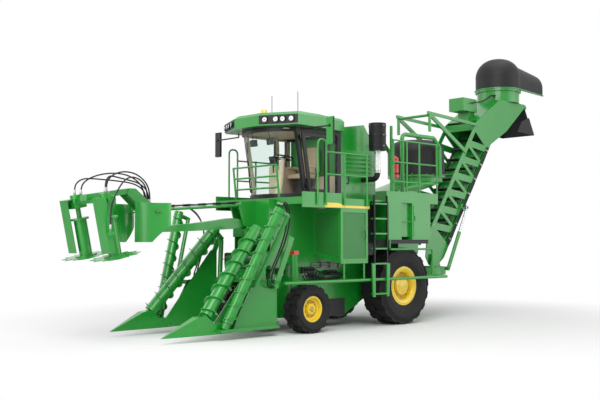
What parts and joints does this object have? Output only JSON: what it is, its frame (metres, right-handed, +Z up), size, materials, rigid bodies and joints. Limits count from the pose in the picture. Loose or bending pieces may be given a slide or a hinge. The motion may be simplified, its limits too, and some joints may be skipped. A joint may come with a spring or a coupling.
{
  "type": "sugarcane harvester",
  "caption": "Wheeled self-propelled sugarcane harvester with scroll crop dividers, boom topper, high cab, cleaning extractors and a slewing rear elevator.",
  "frame": {"origin": "on the ground under the middle of the machine's overall length and width", "axes": "+X forward, +Y to the machine's left, +Z up"},
  "size_m": [13.315, 3.38, 6.2998],
  "materials": {
    "green_paint": "gloss",
    "dark_green": "satin",
    "black_paint": "satin",
    "yellow_paint": "gloss",
    "red_paint": "gloss",
    "tyre_rubber": "matte",
    "clear_glass": "clear",
    "black_plastic": "matte",
    "seat_fabric": "woven",
    "bright_steel": "brushed",
    "iron": "rough"
  },
  "bodies": {
    "chassis": {"chassis_frame": "green_paint", "rear_axle": "green_paint", "front_legs": "green_paint", "throat_housing": "green_paint", "engine_block": "iron", "cooler_boxes": "green_paint", "side_tanks": "green_paint", "deck": "green_paint", "ladder": "black_paint", "engine_housing": "green_paint", "cab_frame": "black_paint", "cab_roof": "green_paint", "cab_glass": "clear_glass", "operator_station": "seat_fabric", "mirrors": "black_plastic", "hand_rails": "green_paint", "exhaust_stack": "black_paint", "safety_gear": "red_paint", "extractor_tower": "green_paint", "roof_lamps": "black_plastic", "tie_down_eyes": "green_paint", "belly_curtains": "black_plastic"},
    "door": {"cab_door": "black_paint", "door_glass": "clear_glass"},
    "steering_knuckle_l": {"knuckle_l": "green_paint"},
    "front_wheel_l": {"front_tyre_l": "tyre_rubber", "front_rim_l": "yellow_paint"},
    "rear_wheel_l": {"rear_tyre_l": "tyre_rubber", "rear_rim_l": "yellow_paint"},
    "crop_divider_l": {"divider_l": "green_paint"},
    "inner_scroll_l": {"scroll_inner_l": "green_paint"},
    "outer_scroll_l": {"scroll_outer_l": "green_paint"},
    "gathering_drum_l": {"topper_drum_l": "green_paint"},
    "base_cutter_l": {"basecutter_l": "green_paint"},
    "steering_knuckle_r": {"knuckle_r": "green_paint"},
    "front_wheel_r": {"front_tyre_r": "tyre_rubber", "front_rim_r": "yellow_paint"},
    "rear_wheel_r": {"rear_tyre_r": "tyre_rubber", "rear_rim_r": "yellow_paint"},
    "crop_divider_r": {"divider_r": "green_paint"},
    "inner_scroll_r": {"scroll_inner_r": "green_paint"},
    "outer_scroll_r": {"scroll_outer_r": "green_paint"},
    "gathering_drum_r": {"topper_drum_r": "green_paint"},
    "base_cutter_r": {"basecutter_r": "green_paint"},
    "boom": {"topper_boom": "green_paint"},
    "links": {"topper_links": "green_paint"},
    "topper": {"topper_head": "green_paint", "topper_hoses": "black_plastic"},
    "roller": {"knockdown_roller": "green_paint"},
    "main_hood": {"primary_hood": "black_plastic"},
    "main_fan": {"primary_fan": "dark_green"},
    "slew": {"slew_table": "green_paint"},
    "elevator": {"elevator_frame": "green_paint", "elevator_conveyor": "black_paint"},
    "flap": {"elevator_flap": "black_plastic"},
    "top_hood": {"secondary_hood": "black_plastic"},
    "top_fan": {"secondary_fan": "dark_green"},
    "barrels": {"lift_barrels": "green_paint"},
    "rams": {"lift_rods": "bright_steel"}
  },
  "joints": [
    {"name": "steer_l", "type": "hinge", "parent": "chassis", "child": "steering_knuckle_l", "pos_m": [2.5665, 0.66, 0.437], "axis": [0, 0, 1], "range_deg": [-30, 30]},
    {"name": "front_spin_l", "type": "hinge", "parent": "steering_knuckle_l", "child": "front_wheel_l", "pos_m": [2.5665, 1, 0.437], "axis": [0, 1, 0], "continuous": true},
    {"name": "rear_spin_l", "type": "hinge", "parent": "chassis", "child": "rear_wheel_l", "pos_m": [-0.0175, 0.92, 0.77], "axis": [0, 1, 0], "continuous": true},
    {"name": "divider_lift_l", "type": "hinge", "parent": "chassis", "child": "crop_divider_l", "pos_m": [3.3125, 0.6, 0.9], "axis": [0, -1, 0], "range_deg": [0, 12]},
    {"name": "inner_spin_l", "type": "hinge", "parent": "crop_divider_l", "child": "inner_scroll_l", "pos_m": [4.7425, 0.81, 0.41], "axis": [-0.6541, -0.1099, 0.7483], "continuous": true},
    {"name": "outer_spin_l", "type": "hinge", "parent": "crop_divider_l", "child": "outer_scroll_l", "pos_m": [4.4325, 1, 0.3], "axis": [-0.3639, 0.2213, 0.9048], "continuous": true},
    {"name": "drum_spin_l", "type": "hinge", "parent": "topper", "child": "gathering_drum_l", "pos_m": [6.2625, 0.45, 1.45], "axis": [0.2079, 0, 0.9781], "continuous": true},
    {"name": "cutter_spin_l", "type": "hinge", "parent": "chassis", "child": "base_cutter_l", "pos_m": [2.9125, 0.26, 0.13], "axis": [0.1736, 0, 0.9848], "continuous": true},
    {"name": "steer_r", "type": "hinge", "parent": "chassis", "child": "steering_knuckle_r", "pos_m": [2.5665, -0.66, 0.437], "axis": [0, 0, 1], "range_deg": [-30, 30]},
    {"name": "front_spin_r", "type": "hinge", "parent": "steering_knuckle_r", "child": "front_wheel_r", "pos_m": [2.5665, -1, 0.437], "axis": [0, 1, 0], "continuous": true},
    {"name": "rear_spin_r", "type": "hinge", "parent": "chassis", "child": "rear_wheel_r", "pos_m": [-0.0175, -0.92, 0.77], "axis": [0, 1, 0], "continuous": true},
    {"name": "divider_lift_r", "type": "hinge", "parent": "chassis", "child": "crop_divider_r", "pos_m": [3.3125, -0.6, 0.9], "axis": [0, -1, 0], "range_deg": [0, 12]},
    {"name": "inner_spin_r", "type": "hinge", "parent": "crop_divider_r", "child": "inner_scroll_r", "pos_m": [4.7425, -0.81, 0.41], "axis": [-0.6541, 0.1099, 0.7483], "continuous": true},
    {"name": "outer_spin_r", "type": "hinge", "parent": "crop_divider_r", "child": "outer_scroll_r", "pos_m": [4.4325, -1, 0.3], "axis": [-0.3639, -0.2213, 0.9048], "continuous": true},
    {"name": "drum_spin_r", "type": "hinge", "parent": "topper", "child": "gathering_drum_r", "pos_m": [6.2625, -0.45, 1.45], "axis": [0.2079, 0, 0.9781], "continuous": true},
    {"name": "cutter_spin_r", "type": "hinge", "parent": "chassis", "child": "base_cutter_r", "pos_m": [2.9125, -0.26, 0.13], "axis": [0.1736, 0, 0.9848], "continuous": true},
    {"name": "roller_spin", "type": "hinge", "parent": "chassis", "child": "roller", "pos_m": [3.2125, 0, 1.33], "axis": [0, 1, 0], "continuous": true},
    {"name": "topper_lift", "type": "hinge", "parent": "chassis", "child": "boom", "pos_m": [3.2825, 0, 2], "axis": [0, -1, 0], "range_deg": [-10, 35]},
    {"name": "link_follow", "type": "hinge", "parent": "chassis", "child": "links", "pos_m": [3.3825, 0, 2.33], "axis": [0, -1, 0], "range_deg": [-10, 35]},
    {"name": "topper_level", "type": "hinge", "parent": "boom", "child": "topper", "pos_m": [5.2825, 0, 1.86], "axis": [0, -1, 0], "range_deg": [-35, 10]},
    {"name": "main_hood_turn", "type": "hinge", "parent": "chassis", "child": "main_hood", "pos_m": [-1.8675, 0, 3.145], "axis": [0, 0, 1], "range_deg": [-60, 60]},
    {"name": "main_fan_spin", "type": "hinge", "parent": "chassis", "child": "main_fan", "pos_m": [-1.8675, 0, 3.2], "axis": [0, 0, 1], "continuous": true},
    {"name": "elevator_swing", "type": "hinge", "parent": "chassis", "child": "slew", "pos_m": [-1.8675, 0, 1], "axis": [0, 0, 1], "range_deg": [-85, 85]},
    {"name": "elevator_lift", "type": "hinge", "parent": "slew", "child": "elevator", "pos_m": [-1.8675, 0, 1.3], "axis": [0, 1, 0], "range_deg": [-20, 0]},
    {"name": "flap_swing", "type": "hinge", "parent": "elevator", "child": "flap", "pos_m": [-5.7375, 0, 5.06], "axis": [0, 1, 0], "range_deg": [-10, 30]},
    {"name": "top_hood_turn", "type": "hinge", "parent": "elevator", "child": "top_hood", "pos_m": [-5.1875, 0, 5.48], "axis": [0, 0, 1], "range_deg": [-90, 90]},
    {"name": "top_fan_spin", "type": "hinge", "parent": "elevator", "child": "top_fan", "pos_m": [-5.1875, 0, 5.4], "axis": [0, 0, 1], "continuous": true},
    {"name": "barrel_swing", "type": "hinge", "parent": "slew", "child": "barrels", "pos_m": [-2.2675, 0, 1.06], "axis": [0, 1, 0], "range_deg": [-22, 0]},
    {"name": "ram_slide", "type": "slide", "parent": "barrels", "child": "rams", "axis": [-0.465, 0, 0.8853], "range_m": [-0.165, 0]},
    {"name": "door_swing", "type": "hinge", "parent": "chassis", "child": "door", "pos_m": [2.3275, 0.805, 2.575], "axis": [-0.1747, 0, -0.9846], "range_deg": [0, 45]}
  ],
  "couplings": [
    {"joint": "steer_r", "follows": "steer_l", "ratio": 1},
    {"joint": "cutter_spin_r", "follows": "cutter_spin_l", "ratio": -1},
    {"joint": "link_follow", "follows": "topper_lift", "ratio": 1},
    {"joint": "topper_level", "follows": "topper_lift", "ratio": -1},
    {"joint": "barrel_swing", "follows": "elevator_lift", "ratio": 1.028},
    {"joint": "ram_slide", "follows": "elevator_lift", "m_per_rad": 0.4621}
  ]
}
